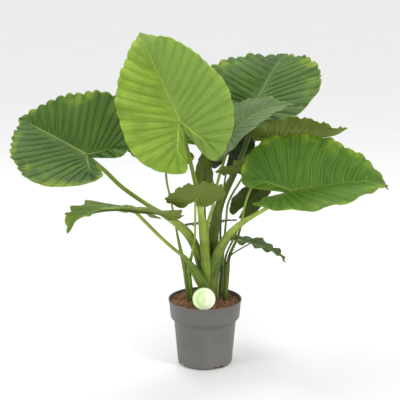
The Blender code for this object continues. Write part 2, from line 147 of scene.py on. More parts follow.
MAIN_STEM = (0.006, 0.0)
LEAVES = {
    "front_leaf": Leaf(
        (-0.062, -0.060, 0.645), (127, 50, 40), (0.285, 0.945, 0.955), (6, 18, 10, 7),
        ((0.005, -0.014, 0.165), (0.005, -0.017, 0.215), (0.003, -0.019, 0.270), (-0.004, -0.020, 0.345),
         (-0.014, -0.028, 0.430), (-0.035, -0.040, 0.535)),
        (0.0125, 0.0052), (0.20, 0.75), "fresh", 0.012, 0.006, 0.012, 10, 0.03, 0.64),
    "left_leaf": Leaf(
        (-0.294, -0.030, 0.557), (134, 12, 38), (0.295, 1.040, 0.825), (2, 25, 8, -7),
        ((-0.003, 0.004, 0.165), (-0.006, 0.004, 0.225), (-0.013, 0.006, 0.275), (-0.035, 0.007, 0.332),
         (-0.073, 0.006, 0.373), (-0.153, 0.000, 0.427), (-0.210, -0.008, 0.471), (-0.251, -0.016, 0.514)),
        (0.0135, 0.0058), (0.34, 0.62), "dark", 0.022, 0.004, 0.024),
    "back_leaf": Leaf(
        (0.138, 0.205, 0.654), (71, 27, 0), (0.295, 1.115, 1.01), (17, 17, 7, 0),
        ((0.016, 0.008, 0.165), (0.018, 0.010, 0.225), (0.019, 0.012, 0.280), (0.023, 0.022, 0.348),
         (0.041, 0.045, 0.421), (0.080, 0.085, 0.494), (0.116, 0.150, 0.572)),
        (0.0122, 0.0060), (0.25, 0.80), "dark", 0.024, 0.010, 0.020, 0, 0.07, 0.80),
    "right_leaf": Leaf(
        (0.215, -0.060, 0.473), (17, 7, -28), (0.288, 0.995, 0.855), (14, 30, 13, 0),
        ((0.015, -0.008, 0.165), (0.018, -0.010, 0.225), (0.027, -0.013, 0.280), (0.047, -0.020, 0.330),
         (0.088, -0.035, 0.381), (0.155, -0.050, 0.427)),
        (0.0170, 0.0050), (0.22, 0.80), "green", 0.015, 0.013, 0.018, 25, 0.08, 0.80),
    "young_leaf": Leaf(
        (0.067, 0.012, 0.605), (0, 50, -16), (0.183, 1.00, 0.90), (55, 10, 5, 10),
        ((0.006, 0.000, 0.165), (0.006, 0.001, 0.290), (0.005, 0.002, 0.362), (0.019, 0.006, 0.415),
         (0.031, 0.012, 0.476), (0.051, 0.012, 0.545)),
        (0.0085, 0.0038), (0.15, 0.60), "silver", 0.010, 0.010, 0.012),
    "low_left_leaf": Leaf(
        (-0.171, -0.040, 0.415), (215, 20, -10), (0.225, 1.00, 1.00), (42, 13, 16, 8),
        ((0.012, -0.019, 0.165), (0.003, -0.027, 0.205), (-0.013, -0.033, 0.238), (-0.034, -0.035, 0.270),
         (-0.054, -0.036, 0.296), (-0.078, -0.038, 0.316), (-0.114, -0.040, 0.350)),
        (0.0165, 0.0048), (0.22, 0.52), "light", 0.013, 0.020, 0.030, 20),
    "narrow_leaf": Leaf(
        (-0.003, 0.060, 0.455), (-90, 80, 0), (0.110, 0.55, 0.80), (10, 45, 10, 5),
        ((0.004, 0.010, 0.200), (0.004, 0.018, 0.270), (0.002, 0.032, 0.335)),
        (0.0080, 0.0026), (0.2, 0.6), "olive", 0.010, 0.015, 0.015),
    "centre_leaf": Leaf(
        (-0.025, -0.110, 0.463), (-78, 32, 2), (0.140, 1.00, 0.98), (0, 12, 13, 5),
        ((-0.036, -0.013, 0.175), (-0.041, -0.014, 0.225), (-0.041, -0.016, 0.262), (-0.033, -0.022, 0.300),
         (-0.026, -0.040, 0.347), (-0.025, -0.070, 0.400)),
        (0.0062, 0.0030), (0.1, 0.5), "olive", 0.010, 0.020, 0.020),
    "shaded_leaf": Leaf(
        (-0.092, 0.100, 0.563), (165, 12, 42), (0.160, 1.00, 1.00), (20, 12, 15, 10),
        ((-0.040, -0.010, 0.175), (-0.047, -0.010, 0.225), (-0.053, -0.008, 0.262), (-0.068, 0.012, 0.323),
         (-0.077, 0.028, 0.369), (-0.086, 0.045, 0.414), (-0.101, 0.080, 0.483)),
        (0.0062, 0.0028), (0.1, 0.5), "green", 0.010, 0.020, 0.020),
    "folded_leaf": Leaf(
        (0.195, 0.072, 0.571), (-4, 6, 25), (0.175, 0.97, 0.88), (-5, 35, 12, 4),
        ((0.052, -0.004, 0.175), (0.057, -0.003, 0.230), (0.062, -0.002, 0.285), (0.086, -0.002, 0.346),
         (0.104, -0.003, 0.433), (0.126, 0.014, 0.482), (0.160, 0.056, 0.526)),
        (0.0050, 0.0030), (0.1, 0.5), "light", 0.010, 0.026, 0.020, -16),
    "small_leaf": Leaf(
        (0.110, 0.047, 0.415), (30, 42, -8), (0.100, 1.00, 1.00), (20, 12, 14, 8),
        ((0.050, -0.003, 0.175), (0.053, -0.003, 0.230), (0.053, -0.002, 0.285), (0.076, 0.012, 0.335),
         (0.095, 0.030, 0.378)),
        (0.0048, 0.0026), (0.1, 0.5), "olive", 0.010, 0.012, 0.012),
    "low_right_leaf": Leaf(
        (0.115, -0.010, 0.325), (-16, -9, 7), (0.108, 1.00, 1.00), (25, 12, 15, 8),
        ((0.052, -0.008, 0.175), (0.057, -0.010, 0.250), (0.062, -0.010, 0.285), (0.080, -0.010, 0.302)),
        (0.0042, 0.0020), (0.1, 0.5), "light", 0.012, 0.030, 0.030, 15),
    "inner_leaf": Leaf(
        (0.116, 0.044, 0.515), (229, 7, -38), (0.150, 0.64, 0.35), (8, 10, 11, 8),
        ((0.041, 0.035, 0.175), (0.045, 0.035, 0.255), (0.051, 0.044, 0.330), (0.055, 0.052, 0.370),
         (0.061, 0.070, 0.412), (0.088, 0.064, 0.464)),
        (0.0044, 0.0030), (0.1, 0.5), "olive", 0.010, 0.020, 0.014),
    # this leaf and the flat back leaf take the darker hue that paints their shade
    "rear_leaf": Leaf(
        (0.067, 0.175, 0.526), (60, 45, 0), (0.132, 1.00, 1.00), (15, 12, 12, 8),
        ((0.040, 0.036, 0.175), (0.041, 0.037, 0.255), (0.040, 0.048, 0.335), (0.045, 0.085, 0.415),
         (0.057, 0.135, 0.480)),
        (0.0044, 0.0024), (0.1, 0.5), "deep_painted_shade", 0.012, 0.015, 0.015),
    "flat_back_leaf": Leaf(
        (0.014, 0.120, 0.344), (95, -14, 3), (0.135, 1.00, 1.00), (8, 4, 8, 4),
        ((0.040, 0.038, 0.175), (0.043, 0.040, 0.245), (0.040, 0.060, 0.285), (0.026, 0.090, 0.310)),
        (0.0042, 0.0022), (0.1, 0.5), "deep_painted_shade", 0.012, 0.015, 0.015),
}
print("leaves:", len(LEAVES))

# %% [markdown]
# ## Finishes: helpers for nodes
# A leaf's colour follows its veins, so the materials read a map whose first number counts the veins
# and whose second number runs from the rib to the margin. A few short helpers keep the node code readable.

# %% Node helpers
def linear(red, green, blue):
    """A colour given in screen values from 0 to 255, as the shader needs it."""
    def one(value):
        value /= 255
        return value / 12.92 if value <= 0.04045 else ((value + 0.055) / 1.055) ** 2.4
    return (one(red), one(green), one(blue), 1.0)


def join(tree, source, target):
    """Links a socket to another, or sets a plain value on it."""
    if isinstance(source, bpy.types.NodeSocket):
        tree.links.new(source, target)
    elif source is not None:
        target.default_value = source


def calculate(tree, operation, first, second=None):
    node = tree.nodes.new("ShaderNodeMath")
    node.operation = operation
    for value, socket in zip((first, second), node.inputs):
        join(tree, value, socket)
    return node.outputs[0]


def times(tree, first, second):
    return calculate(tree, "MULTIPLY", first, second)


def plus(tree, first, second):
    return calculate(tree, "ADD", first, second)


def less(tree, first, second):
    return calculate(tree, "SUBTRACT", first, second)


def ramp(tree, value, low, high):
    """0 below low, 1 above high, and smooth between them."""
    node = tree.nodes.new("ShaderNodeMapRange")
    node.interpolation_type = "SMOOTHSTEP"
    join(tree, value, node.inputs["Value"])
    join(tree, low, node.inputs["From Min"])
    join(tree, high, node.inputs["From Max"])
    return node.outputs["Result"]


def mix(tree, factor, first, second, blend="MIX"):
    node = tree.nodes.new("ShaderNodeMix")
    node.data_type = "RGBA"
    node.blend_type = blend
    join(tree, factor, node.inputs["Factor"])
    join(tree, first, node.inputs["A"])
    join(tree, second, node.inputs["B"])
    return node.outputs["Result"]


def speckle(tree, place, scale, detail=3.0, rough=0.55, stretch=None):
    """Noise from 0 to 1 at a place, stretched where wanted."""
    if stretch:
        mapping = tree.nodes.new("ShaderNodeMapping")
        join(tree, place, mapping.inputs["Vector"])
        mapping.inputs["Scale"].default_value = stretch
        place = mapping.outputs["Vector"]
    node = tree.nodes.new("ShaderNodeTexNoise")
    join(tree, place, node.inputs["Vector"])
    node.inputs["Scale"].default_value = scale
    node.inputs["Detail"].default_value = detail
    node.inputs["Roughness"].default_value = rough
    return node.outputs["Fac"]


def object_place(tree):
    return tree.nodes.new("ShaderNodeTexCoord").outputs["Object"]


def bump(tree, height, distance, strength=1.0):
    node = tree.nodes.new("ShaderNodeBump")
    node.inputs["Strength"].default_value = strength
    node.inputs["Distance"].default_value = distance
    join(tree, height, node.inputs["Height"])
    return node.outputs["Normal"]


def new_finish(name, roughness=0.5):
    """A material with its shader; the rest of its nodes are added by its own recipe."""
    finish = bpy.data.materials.new(name)
    finish.use_nodes = True
    shader = finish.node_tree.nodes["Principled BSDF"]
    shader.inputs["Roughness"].default_value = roughness
    return finish, finish.node_tree, shader


def new_group(name, inputs, outputs):
    """A node group with named sockets, and its input and output nodes."""
    tree = bpy.data.node_groups.new(name, "ShaderNodeTree")
    for title, kind in inputs:
        tree.interface.new_socket(title, in_out="INPUT", socket_type=kind)
    for title, kind in outputs:
        tree.interface.new_socket(title, in_out="OUTPUT", socket_type=kind)
    return tree, tree.nodes.new("NodeGroupInput").outputs, tree.nodes.new("NodeGroupOutput").inputs


def use_group(tree, group, **values):
    node = tree.nodes.new("ShaderNodeGroup")
    node.node_tree = group
    for title, value in values.items():
        join(tree, value, node.inputs[title.replace("_", " ")])
    return node.outputs


print("node helpers ready")

# %% [markdown]
# ## The vein pattern
# Pale side veins leave the midrib and run to the margin, with finer ones between them.
# One node group turns the vein map into masks, and every blade's finish uses it with its own values.

# %% Vein pattern group
FLOAT, VECTOR = "NodeSocketFloat", "NodeSocketVector"
SECOND_HALF = 30  # added to a vein's number on the blade's second half
SECOND_HALF_FROM = 25.0  # numbers above this are on the second half


def make_vein_pattern():
    tree, given, out = new_group(
        "vein_pattern",
        (("Vein Map", VECTOR), ("Vein Width", FLOAT), ("Rib Width", FLOAT)),
        (("Vein", FLOAT), ("Panel", FLOAT), ("Fine Vein", FLOAT), ("Rib", FLOAT), ("Margin", FLOAT),
         ("Edge", FLOAT), ("Second Half", FLOAT)))
    split = tree.nodes.new("ShaderNodeSeparateXYZ")
    join(tree, given["Vein Map"], split.inputs[0])
    number, share = split.outputs[0], split.outputs[1]
    wander = speckle(tree, given["Vein Map"], 1.3, 1.0, 0.5, (1.0, 5.0, 1.0))
    number = plus(tree, number, times(tree, less(tree, wander, 0.5), 0.10))
    away = calculate(tree, "PINGPONG", number, 0.5)
    panel = times(tree, away, 2.0)
    thin = less(tree, 1.25, share)
    width = times(tree, given["Vein Width"], thin)
    vein = less(tree, 1.0, ramp(tree, panel, times(tree, width, 0.35), width))
    fine_away = calculate(tree, "PINGPONG", times(tree, number, 3.0), 0.5)
    fine = less(tree, 1.0, ramp(tree, fine_away, 0.02, 0.22))
    from_tip = plus(tree, 0.45, times(tree, ramp(tree, number, 0.0, 9.0), 1.0))
    rib_width = times(tree, given["Rib Width"], from_tip)
    rib = less(tree, 1.0, ramp(tree, share, times(tree, rib_width, 0.5), rib_width))
    second_half = calculate(tree, "GREATER_THAN", split.outputs[0], SECOND_HALF_FROM)
    for title, value in (
            ("Second Half", second_half), ("Vein", vein), ("Panel", ramp(tree, panel, 0.0, 1.0)),
            ("Fine Vein", fine), ("Rib", rib), ("Margin", ramp(tree, share, 0.62, 1.0)),
            ("Edge", ramp(tree, share, 0.975, 0.992))):
        join(tree, value, out[title])
    return tree


VEIN_PATTERN = make_vein_pattern()
print("vein pattern outputs:", len(VEIN_PATTERN.interface.items_tree))

# %% [markdown]
# ## Blade finishes
# A leaf's upper side is a waxy green that darkens with age, paler along its veins, yellower at its margin,
# with painted shade in the valleys beside its veins and a painted sheen on its second half.
# The underside is a flatter olive with raised veins. The age sets most of the colours, so each hue has its
# own values; one darker hue is painted shade for the leaves at the back.

# %% Hues of the leaves
class Hue(NamedTuple):
    """Colours of a leaf, in screen values."""

    base: tuple
    second: tuple
    vein: tuple
    edge: tuple
    under: tuple
    rough: float
    tint: float  # how strongly the margin yellows
    veining: float  # how clearly the side veins show
    sheen: float  # how shiny the upper side is
    # painted sheen: the second half gets its own colour, standing in for the light meeting it at another
    # angle
    painted_sheen_half: tuple  # colour of the second half, which the light meets at another angle as it grows


HUES = {
    "fresh": Hue((132, 166, 38), (96, 130, 18), (172, 194, 72), (156, 184, 48), (124, 146, 50),
                 0.34, 0.35, 0.36, 0.36, (110, 144, 66)),
    "green": Hue((80, 122, 24), (56, 96, 10), (132, 160, 70), (150, 174, 30), (102, 124, 44),
                 0.38, 0.50, 0.46, 0.24, (84, 122, 34)),
    "dark": Hue((70, 106, 28), (38, 68, 10), (136, 162, 84), (146, 172, 36), (90, 110, 42),
                0.36, 0.55, 0.26, 0.20, (68, 104, 24)),
    "light": Hue((112, 144, 50), (84, 116, 28), (148, 172, 84), (154, 174, 60), (120, 138, 56),
                 0.42, 0.60, 0.36, 0.24, (112, 142, 52)),
    "silver": Hue((88, 120, 48), (64, 96, 28), (132, 154, 82), (124, 148, 66), (106, 122, 54),
                  0.30, 0.25, 0.34, 0.32, (98, 122, 64)),
    "olive": Hue((92, 114, 38), (70, 92, 26), (124, 142, 60), (116, 134, 50), (112, 130, 48),
                 0.50, 0.30, 0.36, 0.20, (92, 114, 38)),
    # painted shade: a darker copy of the greens for the leaves at the back, which sit in shadow
    "deep_painted_shade": Hue((54, 84, 20), (34, 60, 12), (86, 112, 44), (94, 118, 36), (84, 102, 34),
                0.40, 0.30, 0.32, 0.20, (56, 84, 24)),
}


def vein_map(tree):
    node = tree.nodes.new("ShaderNodeUVMap")
    node.uv_map = "veins"
    return node.outputs["UV"]


def make_blade_top(name, hue):
    finish, tree, shader = new_finish(name)
    place, veins = object_place(tree), vein_map(tree)
    mask = use_group(tree, VEIN_PATTERN, Vein_Map=veins, Vein_Width=0.20, Rib_Width=0.022)
    patches = speckle(tree, place, 14.0, 3.0)
    streaks = speckle(tree, veins, 1.0, 4.0, 0.6, (9.0, 1.3, 1.0))
    shade = ramp(tree, plus(tree, times(tree, patches, 0.5), times(tree, streaks, 0.5)), 0.38, 0.62)
    colour = mix(tree, shade, linear(*hue.second), linear(*hue.base))
    # painted sheen on the blade's second half, bluer and greyer on the fresh leaf
    colour = mix(tree, times(tree, mask["Second Half"], 0.6), colour, linear(*hue.painted_sheen_half))
    # painted shade: darker in the valleys along the veins, between the bulging panels
    painted_valley_shade = less(tree, 1.0, mask["Panel"])
    colour = mix(tree, times(tree, painted_valley_shade, 0.42), colour, linear(*hue.second))
    colour = mix(tree, times(tree, mask["Fine Vein"], 0.16), colour, linear(*hue.vein))
    blotch = ramp(tree, speckle(tree, place, 22.0, 2.0), 0.42, 0.66)
    tint = times(tree, times(tree, mask["Margin"], blotch), hue.tint)
    colour = mix(tree, tint, colour, linear(*hue.edge))
    colour = mix(tree, times(tree, mask["Vein"], hue.veining), colour, linear(*hue.vein))
    colour = mix(tree, times(tree, mask["Rib"], 0.9), colour, linear(*hue.vein))
    colour = mix(tree, times(tree, mask["Edge"], 0.40), colour, linear(*hue.edge))
    join(tree, colour, shader.inputs["Base Color"])
    cells = speckle(tree, veins, 1.0, 5.0, 0.65, (26.0, 16.0, 1.0))
    height = less(tree, times(tree, cells, 0.7),
                  plus(tree, times(tree, mask["Vein"], 0.6), times(tree, mask["Fine Vein"], 0.35)))
    join(tree, bump(tree, height, 0.0022), shader.inputs["Normal"])
    gloss = plus(tree, hue.rough, times(tree, cells, 0.16))
    join(tree, gloss, shader.inputs["Roughness"])
    shader.inputs["Specular IOR Level"].default_value = hue.sheen
    return finish


def make_blade_under(name, hue):
    finish, tree, shader = new_finish(name, 0.62)
    shader.inputs["Specular IOR Level"].default_value = 0.22
    place, veins = object_place(tree), vein_map(tree)
    mask = use_group(tree, VEIN_PATTERN, Vein_Map=veins, Vein_Width=0.17, Rib_Width=0.03)
    streaks = speckle(tree, veins, 1.0, 4.0, 0.6, (12.0, 2.0, 1.0))
    dark = tuple(value * 0.80 for value in hue.under)
    light = tuple(min(255, value * 1.22) for value in hue.under)
    colour = mix(tree, ramp(tree, streaks, 0.35, 0.65), linear(*dark), linear(*hue.under))
    colour = mix(tree, times(tree, mask["Fine Vein"], 0.22), colour, linear(*light))
    raised = calculate(tree, "MAXIMUM", mask["Vein"], mask["Rib"])
    colour = mix(tree, times(tree, raised, 0.7), colour, linear(*light))
    join(tree, colour, shader.inputs["Base Color"])
    height = plus(tree, times(tree, raised, 0.8), times(tree, speckle(tree, place, 420.0, 2.0), 0.3))
    join(tree, bump(tree, height, 0.0012), shader.inputs["Normal"])
    return finish


BLADE_TOPS = {name: make_blade_top(f"blade_top_{name}", hue) for name, hue in HUES.items()}
BLADE_UNDERS = {name: make_blade_under(f"blade_under_{name}", hue) for name, hue in HUES.items()}
print("blade finishes:", len(BLADE_TOPS) + len(BLADE_UNDERS))

# %% [markdown]
# ## The shape of a blade
# Half a blade is a grid: its rows are veins from rib to margin, and its columns run along the leaf.
# Rows first follow the midrib from tip to stalk, then go out along the lobe's own rib and back again.
# Moving the points of one grid is simpler than extruding each vein, and the map for the finish comes with it.

# %% Outline and veins of the flat blade
HALF_WIDTH = 0.53
HOOK_FROM = 0.72  # the share of the length past which a tip may hook down
OUTLINE = Line(smooth_line(
    ((1.0, 0.0), (0.955, 0.030), (0.90, 0.085), (0.83, 0.155), (0.70, 0.275), (0.56, 0.375), (0.40, 0.455),
     (0.25, 0.505), (0.10, 0.530), (-0.05, 0.525), (-0.18, 0.488), (-0.30, 0.425), (-0.40, 0.330),
     (-0.46, 0.235), (-0.475, 0.165), (-0.44, 0.115), (-0.36, 0.080), (-0.25, 0.050), (-0.14, 0.020),
     (-0.08, 0.0))))
LOBE_RIB_END = Vector((-0.32, 0.17))
FRONT_VEINS, LOBE_VEINS, BACK_VEINS = 9, 6, 3
ALL_VEINS = FRONT_VEINS + LOBE_VEINS + BACK_VEINS
MARGIN_AT_STALK, MARGIN_AT_LOBE_END = 0.42, 0.785  # shares of the outline's length


def vein_ends(number, sweep):
    """Where a vein starts on the rib and where it ends on the margin, as shares of the blade's length."""
    if number <= FRONT_VEINS:
        share = number / FRONT_VEINS
        return Vector((1 - share**sweep, 0.0)), OUTLINE.at(MARGIN_AT_STALK * share)
    if number <= FRONT_VEINS + LOBE_VEINS:
        share = (number - FRONT_VEINS) / LOBE_VEINS
        margin = MARGIN_AT_STALK + (MARGIN_AT_LOBE_END - MARGIN_AT_STALK) * share
        return LOBE_RIB_END * share**1.3, OUTLINE.at(margin)
    share = (number - FRONT_VEINS - LOBE_VEINS) / BACK_VEINS
    return LOBE_RIB_END * (1 - share)**1.3, OUTLINE.at(MARGIN_AT_LOBE_END + (1 - MARGIN_AT_LOBE_END) * share)


print("veins in half a blade:", ALL_VEINS)

# %% [markdown]
# ## Bending the blade
# A real blade is not flat: its halves rise from the midrib, its tip droops, it bulges between the veins,
# and its margin waves. Each of these is one small term, added along the blade's own upward direction.

# %% The bent blade
def blade_axes(leaf):
    """The directions along the midrib, to its left, and out of the upper side, as a matrix's columns."""
    heading, pitch, roll = (math.radians(angle) for angle in leaf.turn)
    along = Vector((math.cos(pitch) * math.cos(heading), math.cos(pitch) * math.sin(heading),
                    math.sin(pitch)))
    level = Vector((-math.sin(pitch) * math.cos(heading), -math.sin(pitch) * math.sin(heading),
                    math.cos(pitch)))
    upper = level * math.cos(roll) + level.cross(along) * math.sin(roll)
    return Matrix((along, upper.cross(along), upper)).transposed()


def bent(leaf, flat, side, lift):
    """A point of the flat blade, lift metres above its surface, once the blade is bent."""
    length, width, lobes = leaf.size
    droop, fold, curl, lobe_droop = (math.radians(angle) for angle in leaf.bend)
    along = flat.x * length * (lobes if flat.x < 0 else 1.0)
    out = max(0.0, flat.y) * length * width
    bend = (droop if along > 0 else lobe_droop) / length or 1e-6
    turn = curl / (HALF_WIDTH * length * width) or 1e-6
    slope = fold - turn * out
    aside = (math.sin(fold) - math.sin(slope)) / turn
    rise = (math.cos(slope) - math.cos(fold)) / turn + lift * math.cos(slope)
    hook = math.radians(leaf.hook) * smoothstep(HOOK_FROM, 1.0, flat.x)
    rise -= math.sin(hook) * max(0.0, flat.x - HOOK_FROM) * length
    tilt = bend * along
    return Vector((math.sin(tilt) / bend + rise * math.sin(tilt), side * (aside - lift * math.sin(slope)),
                   (math.cos(tilt) - 1) / bend + rise * math.cos(tilt)))


def blade_point(leaf, seed, number, share, side):
    """The blade's surface at a vein's number and a share of the way out to the margin."""
    rib, margin = vein_ends(number, leaf.sweep)
    flat = rib.lerp(margin, share)
    front = max(0.0, 1 - number / FRONT_VEINS) if number < FRONT_VEINS else 0.0
    reach = (margin - rib).length
    flat.x -= leaf.bow * reach * math.sin(math.pi * share) * smoothstep(0.0, 0.25, front)
    bulge = math.sin(math.pi * (number % 1.0)) ** 0.8
    wander = noise.noise(Vector((number * 0.45, side * 7.3, seed)))
    quick = noise.noise(Vector((number * 1.3, side * 4.1, seed + 20.0)))
    edge = share**5
    if reach > 1e-6 and 0 < number < ALL_VEINS:
        outward = (margin - rib) / reach
        flat += outward * edge * (leaf.scallop * (bulge - 0.55) * (0.8 + 0.9 * quick) + 0.02 * wander)
    flat.y = max(0.0, flat.y)
    free = smoothstep(0.0, 0.07, flat.y)
    quilt = leaf.quilt * (bulge - 0.4) * smoothstep(0.0, 0.25, share) * (1 - 0.35 * share)
    wave = leaf.wave * share**3 * (
        math.sin(math.tau * number / 2.6 + seed * 1.7 + side) + 2.2 * wander + quick)
    slow = 0.020 * noise.noise(Vector((flat.x * 2.6, side * flat.y * 2.6, seed + 40.0)))
    return bent(leaf, flat, side, leaf.size[0] * free * (quilt + wave + slow))


def placed(leaf, point):
    return Vector(leaf.at) + blade_axes(leaf) @ point


print("front leaf's tip:", tuple(round(value, 3) for value in placed(LEAVES["front_leaf"], bent(
    LEAVES["front_leaf"], Vector((1.0, 0.0)), 1, 0.0))))

# %% Make the blades
BLADE_THICKNESS = 0.0007
WELD = 1e-5
LARGE_LEAF = 0.17  # metres; longer blades get the finer grid


def keep(name, form, finishes, smooth=True):
    """An object at the origin from a bmesh, with its finishes."""
    mesh = bpy.data.meshes.new(name)
    form.to_mesh(mesh)
    form.free()
    if smooth:
        mesh.shade_smooth()
    thing = bpy.data.objects.new(name, mesh)
    for finish in finishes:
        mesh.materials.append(finish)
    bpy.context.scene.collection.objects.link(thing)
    return thing


def lay_map(faces, uv, spots):
    """Gives each corner of the faces the place that its point has on the piece's own map."""
    for face in faces:
        for loop in face.loops:
            loop[uv].uv = spots[loop.vert]


def make_blade(name, leaf, seed):
    per_vein, columns = (8, 30) if leaf.size[0] > LARGE_LEAF else (6, 16)
    out_rows, back_rows = (FRONT_VEINS + LOBE_VEINS) * per_vein, LOBE_VEINS * per_vein
    rows = out_rows + back_rows
    axes = blade_axes(leaf)
    form = bmesh.new()
    uv = form.loops.layers.uv.new("veins")
    spots = {}
    for side in (1, -1):
        grid = bmesh.ops.create_grid(form, x_segments=columns, y_segments=rows, size=1.0)
        for vert in grid["verts"]:
            share = (vert.co.x + 1) / 2
            row = round((vert.co.y + 1) / 2 * rows)
            beyond = max(0, row - out_rows)
            number = min(row, out_rows) / per_vein + BACK_VEINS * beyond / back_rows
            spots[vert] = (number + (SECOND_HALF if side < 0 else 0), share)
            vert.co = Vector(leaf.at) + axes @ blade_point(leaf, seed, number, share, side)
        lay_map({face for vert in grid["verts"] for face in vert.link_faces}, uv, spots)
    bmesh.ops.remove_doubles(form, verts=form.verts, dist=WELD)
    bmesh.ops.dissolve_degenerate(form, edges=form.edges, dist=WELD)
    bmesh.ops.recalc_face_normals(form, faces=form.faces)
    upper = axes.col[2]
    if sum(face.normal.dot(upper) * face.calc_area() for face in form.faces) < 0:
        bmesh.ops.reverse_faces(form, faces=form.faces)
    blade = keep(name, form, (BLADE_TOPS[leaf.hue], BLADE_UNDERS[leaf.hue]))
    thicken = blade.modifiers.new("thickness", "SOLIDIFY")
    thicken.thickness = BLADE_THICKNESS
    thicken.offset = -1.0
    thicken.material_offset = 1
    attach(blade, "root")
    return blade


for count, (name, leaf) in enumerate(LEAVES.items()):
    make_blade(f"{name}_surface", leaf, 3.1 * count + 1.0)
    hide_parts(f"{name}_blade")

# %% [markdown]
# ## Stalks
# A stalk is round and firm near its blade, and widens into a sheath that clasps the stem lower down.
# Each is one loft: a grid wrapped round a smooth route, with its section changing from sheath to rod.
# The stalk runs on under the blade as its midrib and two lobe ribs, which taper away to nothing.

# %% Stalk finishes
def make_stalk_finish(name, pale, dark, neck):
    """neck is the colour near the blade; pale and dark mix lower down, on the sheath."""
    finish, tree, shader = new_finish(name)
    node = tree.nodes.new("ShaderNodeUVMap")
    node.uv_map = "round"
    around = node.outputs["UV"]
    split = tree.nodes.new("ShaderNodeSeparateXYZ")
    join(tree, around, split.inputs[0])
    lines = speckle(tree, around, 1.0, 4.0, 0.6, (26.0, 1.2, 1.0))
    patches = speckle(tree, object_place(tree), 26.0, 2.0)
    shade = ramp(tree, plus(tree, times(tree, lines, 0.6), times(tree, patches, 0.4)), 0.38, 0.62)
    colour = mix(tree, shade, linear(*dark), linear(*pale))
    young = ramp(tree, plus(tree, split.outputs[1], times(tree, patches, 0.8)), 1.6, 3.6)
    neck_dark = tuple(0.84 * value for value in neck)
    colour = mix(tree, young, colour, mix(tree, shade, linear(*neck_dark), linear(*neck)))
    join(tree, colour, shader.inputs["Base Color"])
    join(tree, bump(tree, lines, 0.0012), shader.inputs["Normal"])
    join(tree, plus(tree, 0.34, times(tree, patches, 0.2)), shader.inputs["Roughness"])
    shader.inputs["Specular IOR Level"].default_value = 0.32
    return finish


STALK_FINISHES = {
    "bright": make_stalk_finish("stalk_bright", (138, 160, 56), (100, 122, 34), (166, 188, 74)),
    "green": make_stalk_finish("stalk_green", (104, 126, 38), (68, 88, 22), (172, 196, 80)),
    "dark": make_stalk_finish("stalk_dark", (84, 104, 34), (52, 72, 18), (108, 130, 48)),
}
STALK_HUE = {"front_leaf": "bright", "young_leaf": "bright", "shaded_leaf": "bright", "centre_leaf": "bright",
             "inner_leaf": "bright", "left_leaf": "green", "back_leaf": "dark", "narrow_leaf": "dark",
             "rear_leaf": "dark", "flat_back_leaf": "dark"}
print("stalk finishes:", len(STALK_FINISHES))


# %% Loft a stalk
STALK_SIDES, STALK_STEPS, RIB_STEPS, STEM_STEPS = 20, 72, 30, 60
RIB_POINTS = 14
RIB_TAPER = 0.88  # how much of a rib's radius is gone at its end
MAP_PER_METRE = 12  # how fast a stalk's own map runs along it
SHEATH_WIDTH = 1.25  # how much wider than thick a sheath is


def loft(form, route, radii, outward, wide, steps):
    """Wraps a grid round a route. wide gives, at a share, how much wider than thick the section is."""
    line = Line(smooth_line(route))
    uv = form.loops.layers.uv.verify()
    grid = bmesh.ops.create_grid(form, x_segments=STALK_SIDES, y_segments=steps, size=1.0)
    lean = Vector((0, 0, 1)) - outward
    spots = {}
    for vert in grid["verts"]:
        angle = (vert.co.x + 1) * math.pi
        share = (vert.co.y + 1) / 2
        ahead = (line.at(share + 0.01) - line.at(share - 0.01)).normalized()
        inner = (lean - ahead * lean.dot(ahead)).normalized()
        across = ahead.cross(inner)
        broad = wide(share)
        radius = radii(share)
        thick = radius * (1 - 0.10 * (broad - 1))
        groove = 1 - (0.10 + 0.30 * (broad - 1)) * math.exp(-((angle - math.pi) / 0.7) ** 2)
        spots[vert] = ((vert.co.x + 1) / 2, share * line.lengths[-1] * MAP_PER_METRE)
        aside = across * math.sin(angle) * radius * broad
        inward = inner * math.cos(angle) * thick * groove
        vert.co = line.at(share) + aside - inward
    lay_map({face for vert in grid["verts"] for face in vert.link_faces}, uv, spots)


def close_ends(form):
    bmesh.ops.remove_doubles(form, verts=form.verts, dist=WELD)
    bmesh.ops.holes_fill(form, edges=[edge for edge in form.edges if edge.is_boundary], sides=0)
    bmesh.ops.recalc_face_normals(form, faces=form.faces)


def add_rib(form, leaf, ends, radius, outward):
    """A rib under the blade, from the stalk to the end, thinning to nothing."""
    axes = blade_axes(leaf)
    route = []
    for step in range(RIB_POINTS + 1):
        share = step / RIB_POINTS
        size = radius * (1 - RIB_TAPER * share)
        flat = Vector((0.0, 0.0)).lerp(Vector(ends[:2]), 0.985 * share)
        route.append(Vector(leaf.at) + axes @ bent(leaf, flat, ends[2], -BLADE_THICKNESS - 0.45 * size))
    loft(form, route, lambda share: radius * (1 - RIB_TAPER * share), outward, lambda share: 1.0, RIB_STEPS)


def make_stalk(name, leaf):
    form = bmesh.new()
    form.loops.layers.uv.new("round")
    start, end = Vector(leaf.route[0]), Vector(leaf.at)
    outward = Vector((end.x - start.x, end.y - start.y, 0)).normalized()
    foot, neck = leaf.radii
    axes = blade_axes(leaf)
    final = end - axes.col[2] * (BLADE_THICKNESS + 0.75 * neck)

    def sheathed(share):
        return 1 - smoothstep(*leaf.sheath, share)

    loft(form, [*leaf.route, final], lambda share: neck + (foot - neck) * sheathed(share), outward,
         lambda share: 1 + (SHEATH_WIDTH - 1) * sheathed(share), STALK_STEPS)
    add_rib(form, leaf, (1.0, 0.0, 1), neck * 0.85, outward)
    for side in (1, -1):
        add_rib(form, leaf, (LOBE_RIB_END.x * 1.05, LOBE_RIB_END.y * 1.05, side), neck * 0.6, outward)
    close_ends(form)
    stalk = keep(f"{name}_petiole", form, (STALK_FINISHES[STALK_HUE.get(name, "green")],))
    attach(stalk, "root")
    return stalk


